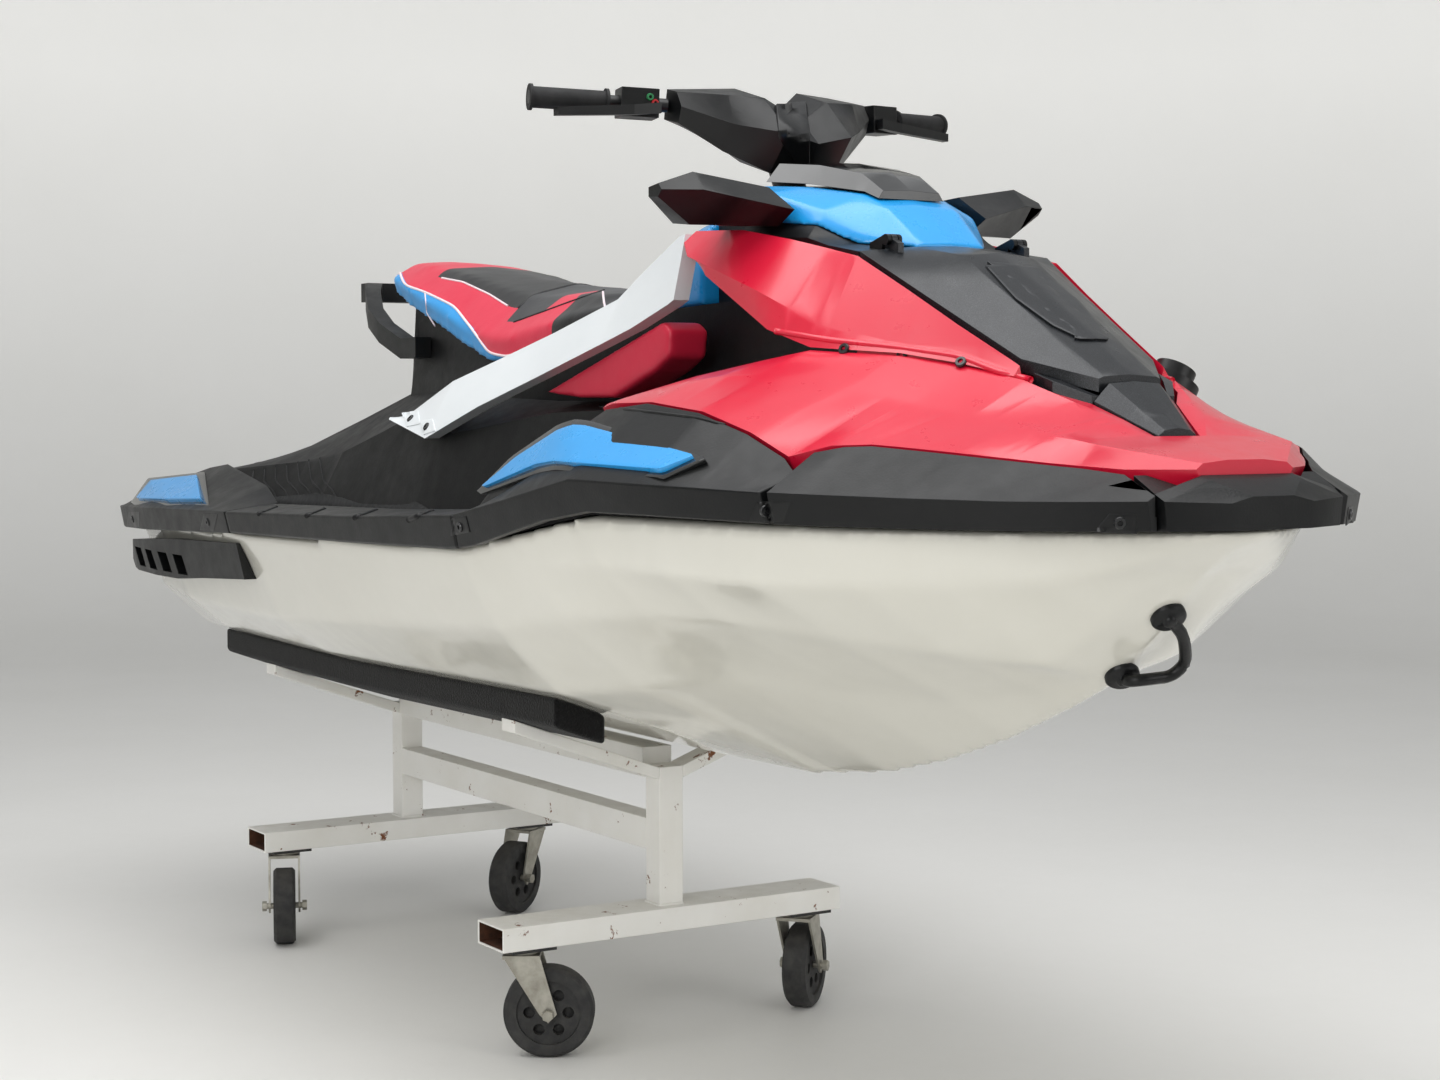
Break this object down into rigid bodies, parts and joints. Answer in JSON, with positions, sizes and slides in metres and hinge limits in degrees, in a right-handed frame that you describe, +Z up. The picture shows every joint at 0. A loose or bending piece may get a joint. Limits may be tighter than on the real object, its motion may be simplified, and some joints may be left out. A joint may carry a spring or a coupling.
{
  "type": "personal watercraft on shop dolly",
  "caption": "Sit-on jet craft with moulded hull, bumper ring, seat, steering bars, lifting front hood and jet pump, standing on a wheeled steel dolly with carpeted bunks.",
  "frame": {"origin": "middle of the bounding box at the floor under the caster wheels", "axes": "+X forward along the craft, +Y to port, +Z up"},
  "size_m": [3.13, 1.13, 1.635],
  "materials": {
    "white_gelcoat": "glossy cream white gelcoat",
    "engine_grey": "plain cast block",
    "black_deck": "matte grained",
    "red_gelcoat": "satin crimson",
    "grey_hood": "dark metallic satin",
    "blue_panel": "satin sky blue",
    "black_gloss": "satin black",
    "mirror_glass": "silvered",
    "white_beam": "cool white satin",
    "red_pad": "satin crimson",
    "seat_vinyl": "red and black marine vinyl",
    "pod_black": "matte grained",
    "bar_metal": "black anodised",
    "grip_rubber": "matte",
    "pump_metal": "painted cast alloy",
    "impeller_steel": "ground",
    "eye_steel": "black coated",
    "dolly_paint": "chipped white paint",
    "bunk_carpet": "black carpet",
    "caster_zinc": "dull zinc",
    "caster_core": "dull grey",
    "caster_tyre": "worn rubber"
  },
  "bodies": {
    "craft_and_dolly": {"bow_bumper": "black_deck", "bunks": "bunk_carpet", "caster_plates": "caster_zinc", "cross_arms": "dolly_paint", "cross_members": "dolly_paint", "dash_cover": "black_gloss", "deck": "black_deck", "dolly_posts": "dolly_paint", "dolly_rails": "dolly_paint", "engine_block": "engine_grey", "front_bumpers": "black_deck", "fuel_cap": "black_deck", "grab_handle": "black_deck", "hood_shoulders": "black_deck", "hood_trim": "grey_hood", "hull": "white_gelcoat", "intake_grate": "black_deck", "knee_pads": "red_pad", "lower_cowl": "red_gelcoat", "mirror_glasses": "mirror_glass", "mirrors": "black_gloss", "pump_housing": "pump_metal", "rear_bumpers": "black_deck", "ride_plate": "pump_metal", "seat": "seat_vinyl", "seat_latch": "black_deck", "side_beams": "white_beam", "side_fairings": "red_gelcoat", "side_wings": "black_deck", "sills": "black_deck", "sponsons": "black_deck", "tank_cover": "blue_panel", "tow_eye": "eye_steel", "upper_cowl": "blue_panel"},
    "handlebar": {"handlebar_pod": "pod_black", "handlebar_tubes": "bar_metal", "grips": "grip_rubber", "switch_blocks": "pod_black", "levers": "bar_metal"},
    "nozzle": {"steering_nozzle": "pump_metal"},
    "bucket": {"reverse_bucket": "pump_metal"},
    "impeller_set": {"impeller": "impeller_steel", "driveshaft": "impeller_steel"},
    "hood": {"hood": "grey_hood"},
    "caster_swivel_front_starboard": {"caster_fork_front_starboard": "caster_zinc"},
    "caster_wheel_front_starboard": {"caster_core_front_starboard": "caster_core", "caster_tyre_front_starboard": "caster_tyre"},
    "caster_swivel_front_port": {"caster_fork_front_port": "caster_zinc"},
    "caster_wheel_front_port": {"caster_core_front_port": "caster_core", "caster_tyre_front_port": "caster_tyre"},
    "caster_swivel_rear_starboard": {"caster_fork_rear_starboard": "caster_zinc"},
    "caster_wheel_rear_starboard": {"caster_core_rear_starboard": "caster_core", "caster_tyre_rear_starboard": "caster_tyre"},
    "caster_swivel_rear_port": {"caster_fork_rear_port": "caster_zinc"},
    "caster_wheel_rear_port": {"caster_core_rear_port": "caster_core", "caster_tyre_rear_port": "caster_tyre"}
  },
  "joints": [
    {"name": "steering", "type": "hinge", "parent": "craft_and_dolly", "child": "handlebar", "pos_m": [0.46, 0, 1.495], "axis": [-0.4695, 0, 0.8829], "range_deg": [-22, 22]},
    {"name": "nozzle_turn", "type": "hinge", "parent": "craft_and_dolly", "child": "nozzle", "pos_m": [-1.4183, 0, 0.65], "axis": [0, 0, 1], "range_deg": [-22, 22]},
    {"name": "bucket_drop", "type": "hinge", "parent": "craft_and_dolly", "child": "bucket", "pos_m": [-1.4183, 0, 0.65], "axis": [0, -1, 0], "range_deg": [0, 58]},
    {"name": "impeller_spin", "type": "hinge", "parent": "craft_and_dolly", "child": "impeller_set", "pos_m": [-1.2403, 0, 0.65], "axis": [1, 0, 0], "continuous": true},
    {"name": "hood_lift", "type": "hinge", "parent": "craft_and_dolly", "child": "hood", "pos_m": [0.912, 0, 1.36], "axis": [0, -1, 0], "range_deg": [0, 55]},
    {"name": "swivel_front_starboard", "type": "hinge", "parent": "craft_and_dolly", "child": "caster_swivel_front_starboard", "pos_m": [0.0668, -0.285, 0.18], "axis": [0, 0, 1], "continuous": true},
    {"name": "roll_front_starboard", "type": "hinge", "parent": "caster_swivel_front_starboard", "child": "caster_wheel_front_starboard", "pos_m": [0.09118, -0.24599, 0.0785], "axis": [0.848, -0.5299, 0], "continuous": true},
    {"name": "swivel_front_port", "type": "hinge", "parent": "craft_and_dolly", "child": "caster_swivel_front_port", "pos_m": [0.0668, 0.285, 0.18], "axis": [0, 0, 1], "continuous": true},
    {"name": "roll_front_port", "type": "hinge", "parent": "caster_swivel_front_port", "child": "caster_wheel_front_port", "pos_m": [0.03723, 0.32024, 0.0785], "axis": [0.766, 0.6428, 0], "continuous": true},
    {"name": "swivel_rear_starboard", "type": "hinge", "parent": "craft_and_dolly", "child": "caster_swivel_rear_starboard", "pos_m": [-1.0243, -0.285, 0.18], "axis": [0, 0, 1], "continuous": true},
    {"name": "roll_rear_starboard", "type": "hinge", "parent": "caster_swivel_rear_starboard", "child": "caster_wheel_rear_starboard", "pos_m": [-0.98165, -0.30223, 0.0785], "axis": [-0.3746, -0.9272, 0], "continuous": true},
    {"name": "swivel_rear_port", "type": "hinge", "parent": "craft_and_dolly", "child": "caster_swivel_rear_port", "pos_m": [-1.0243, 0.285, 0.18], "axis": [0, 0, 1], "continuous": true},
    {"name": "roll_rear_port", "type": "hinge", "parent": "caster_swivel_rear_port", "child": "caster_wheel_rear_port", "pos_m": [-1.00061, 0.24557, 0.0785], "axis": [-0.8572, -0.515, 0], "continuous": true}
  ],
  "couplings": [
    {"joint": "nozzle_turn", "follows": "steering", "ratio": 1}
  ]
}
